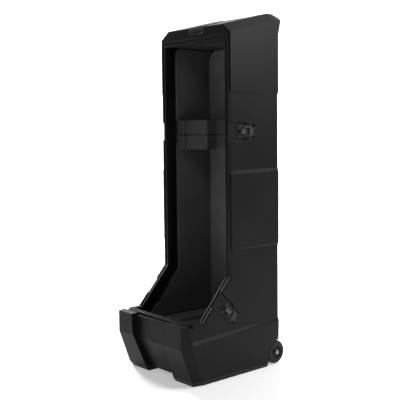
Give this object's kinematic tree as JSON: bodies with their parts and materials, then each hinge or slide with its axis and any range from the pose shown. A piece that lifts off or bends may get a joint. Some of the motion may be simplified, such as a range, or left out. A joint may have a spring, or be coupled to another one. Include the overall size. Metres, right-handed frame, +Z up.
{
  "type": "wheeled transport case body",
  "caption": "Open upright body half of a rotationally moulded wheeled transport case, with rim seal, foam lining, stepped foam brace, draw latches and two tilt wheels.",
  "frame": {"origin": "on the floor, under the middle of the whole part", "axes": "+Z up, the open front faces -Y, the wheels are at +Y, +X is to the right seen from the front"},
  "size_m": [0.3864, 0.5028, 1.3],
  "materials": {
    "polyethylene": "rotationally moulded, lightly textured",
    "seal_rubber": "matte extruded cord",
    "tyre_rubber": "matte",
    "hub_plastic": "moulded",
    "foam": "closed-cell foam, matte",
    "black_steel": "black coated pressing",
    "zinc_steel": "plated"
  },
  "bodies": {
    "case": {"axle_bolt_left": "zinc_steel", "axle_bolt_right": "zinc_steel", "brace_lower": "foam", "brace_upper": "foam", "foot_block": "foam", "latch_lower_left_lever_pin": "zinc_steel", "latch_lower_left_plate": "black_steel", "latch_lower_left_rivet_left": "zinc_steel", "latch_lower_left_rivet_rear": "zinc_steel", "latch_lower_left_rivet_right": "zinc_steel", "latch_lower_right_lever_pin": "zinc_steel", "latch_lower_right_plate": "black_steel", "latch_lower_right_rivet_left": "zinc_steel", "latch_lower_right_rivet_rear": "zinc_steel", "latch_lower_right_rivet_right": "zinc_steel", "latch_top_lever_pin": "zinc_steel", "latch_top_plate": "black_steel", "latch_top_rivet_left": "zinc_steel", "latch_top_rivet_rear": "zinc_steel", "latch_top_rivet_right": "zinc_steel", "latch_upper_left_lever_pin": "zinc_steel", "latch_upper_left_plate": "black_steel", "latch_upper_left_rivet_left": "zinc_steel", "latch_upper_left_rivet_rear": "zinc_steel", "latch_upper_left_rivet_right": "zinc_steel", "latch_upper_right_lever_pin": "zinc_steel", "latch_upper_right_plate": "black_steel", "latch_upper_right_rivet_left": "zinc_steel", "latch_upper_right_rivet_rear": "zinc_steel", "latch_upper_right_rivet_right": "zinc_steel", "liner_back": "foam", "liner_left": "foam", "liner_right": "foam", "liner_top": "foam", "lock_nut_left": "zinc_steel", "lock_nut_right": "zinc_steel", "rim_seal": "seal_rubber", "shell": "polyethylene", "spacer_left": "zinc_steel", "spacer_right": "zinc_steel"},
    "latch_lower_left_lever": {"latch_lower_left_lever": "black_steel", "latch_lower_left_hook_pin": "zinc_steel"},
    "latch_lower_left_hook": {"latch_lower_left_hook": "zinc_steel"},
    "latch_lower_right_lever": {"latch_lower_right_lever": "black_steel", "latch_lower_right_hook_pin": "zinc_steel"},
    "latch_lower_right_hook": {"latch_lower_right_hook": "zinc_steel"},
    "latch_top_lever": {"latch_top_lever": "black_steel", "latch_top_hook_pin": "zinc_steel"},
    "latch_top_hook": {"latch_top_hook": "zinc_steel"},
    "latch_upper_left_lever": {"latch_upper_left_lever": "black_steel", "latch_upper_left_hook_pin": "zinc_steel"},
    "latch_upper_left_hook": {"latch_upper_left_hook": "zinc_steel"},
    "latch_upper_right_lever": {"latch_upper_right_lever": "black_steel", "latch_upper_right_hook_pin": "zinc_steel"},
    "latch_upper_right_hook": {"latch_upper_right_hook": "zinc_steel"},
    "wheel_left": {"tyre_left": "tyre_rubber", "hub_left": "hub_plastic"},
    "wheel_right": {"tyre_right": "tyre_rubber", "hub_right": "hub_plastic"}
  },
  "joints": [
    {"name": "latch_lower_left_lever_hinge", "type": "hinge", "parent": "case", "child": "latch_lower_left_lever", "pos_m": [-0.185, -0.03876, 0.24185], "axis": [0, 0.664, 0.7477], "range_deg": [0, 115]},
    {"name": "latch_lower_left_hook_hinge", "type": "hinge", "parent": "latch_lower_left_lever", "child": "latch_lower_left_hook", "pos_m": [-0.185, -0.02829, 0.23255], "axis": [0, -0.664, -0.7477], "range_deg": [0, 115]},
    {"name": "latch_lower_right_lever_hinge", "type": "hinge", "parent": "case", "child": "latch_lower_right_lever", "pos_m": [0.185, -0.03876, 0.24185], "axis": [0, -0.664, -0.7477], "range_deg": [0, 115]},
    {"name": "latch_lower_right_hook_hinge", "type": "hinge", "parent": "latch_lower_right_lever", "child": "latch_lower_right_hook", "pos_m": [0.185, -0.02829, 0.23255], "axis": [0, 0.664, 0.7477], "range_deg": [0, 115]},
    {"name": "latch_top_lever_hinge", "type": "hinge", "parent": "case", "child": "latch_top_lever", "pos_m": [0.009, 0.04476, 1.2471], "axis": [1, 0, 0], "range_deg": [0, 115]},
    {"name": "latch_top_hook_hinge", "type": "hinge", "parent": "latch_top_lever", "child": "latch_top_hook", "pos_m": [0.009, 0.05837, 1.25036], "axis": [-1, 0, 0], "range_deg": [0, 115]},
    {"name": "latch_upper_left_lever_hinge", "type": "hinge", "parent": "case", "child": "latch_upper_left_lever", "pos_m": [-0.185, 0.0431, 0.87247], "axis": [0, 0, 1], "range_deg": [0, 115]},
    {"name": "latch_upper_left_hook_hinge", "type": "hinge", "parent": "latch_upper_left_lever", "child": "latch_upper_left_hook", "pos_m": [-0.185, 0.0571, 0.87247], "axis": [0, 0, -1], "range_deg": [0, 115]},
    {"name": "latch_upper_right_lever_hinge", "type": "hinge", "parent": "case", "child": "latch_upper_right_lever", "pos_m": [0.185, 0.0431, 0.87247], "axis": [0, 0, -1], "range_deg": [0, 115]},
    {"name": "latch_upper_right_hook_hinge", "type": "hinge", "parent": "latch_upper_right_lever", "child": "latch_upper_right_hook", "pos_m": [0.185, 0.0571, 0.87247], "axis": [0, 0, 1], "range_deg": [0, 115]},
    {"name": "wheel_left_spin", "type": "hinge", "parent": "case", "child": "wheel_left", "pos_m": [-0.171, 0.2076, 0.0448], "axis": [1, 0, 0], "continuous": true},
    {"name": "wheel_right_spin", "type": "hinge", "parent": "case", "child": "wheel_right", "pos_m": [0.171, 0.2076, 0.0448], "axis": [1, 0, 0], "continuous": true}
  ],
  "couplings": [
    {"joint": "latch_lower_left_hook_hinge", "follows": "latch_lower_left_lever_hinge", "ratio": 1},
    {"joint": "latch_lower_right_hook_hinge", "follows": "latch_lower_right_lever_hinge", "ratio": 1},
    {"joint": "latch_top_hook_hinge", "follows": "latch_top_lever_hinge", "ratio": 1},
    {"joint": "latch_upper_left_hook_hinge", "follows": "latch_upper_left_lever_hinge", "ratio": 1},
    {"joint": "latch_upper_right_hook_hinge", "follows": "latch_upper_right_lever_hinge", "ratio": 1}
  ]
}
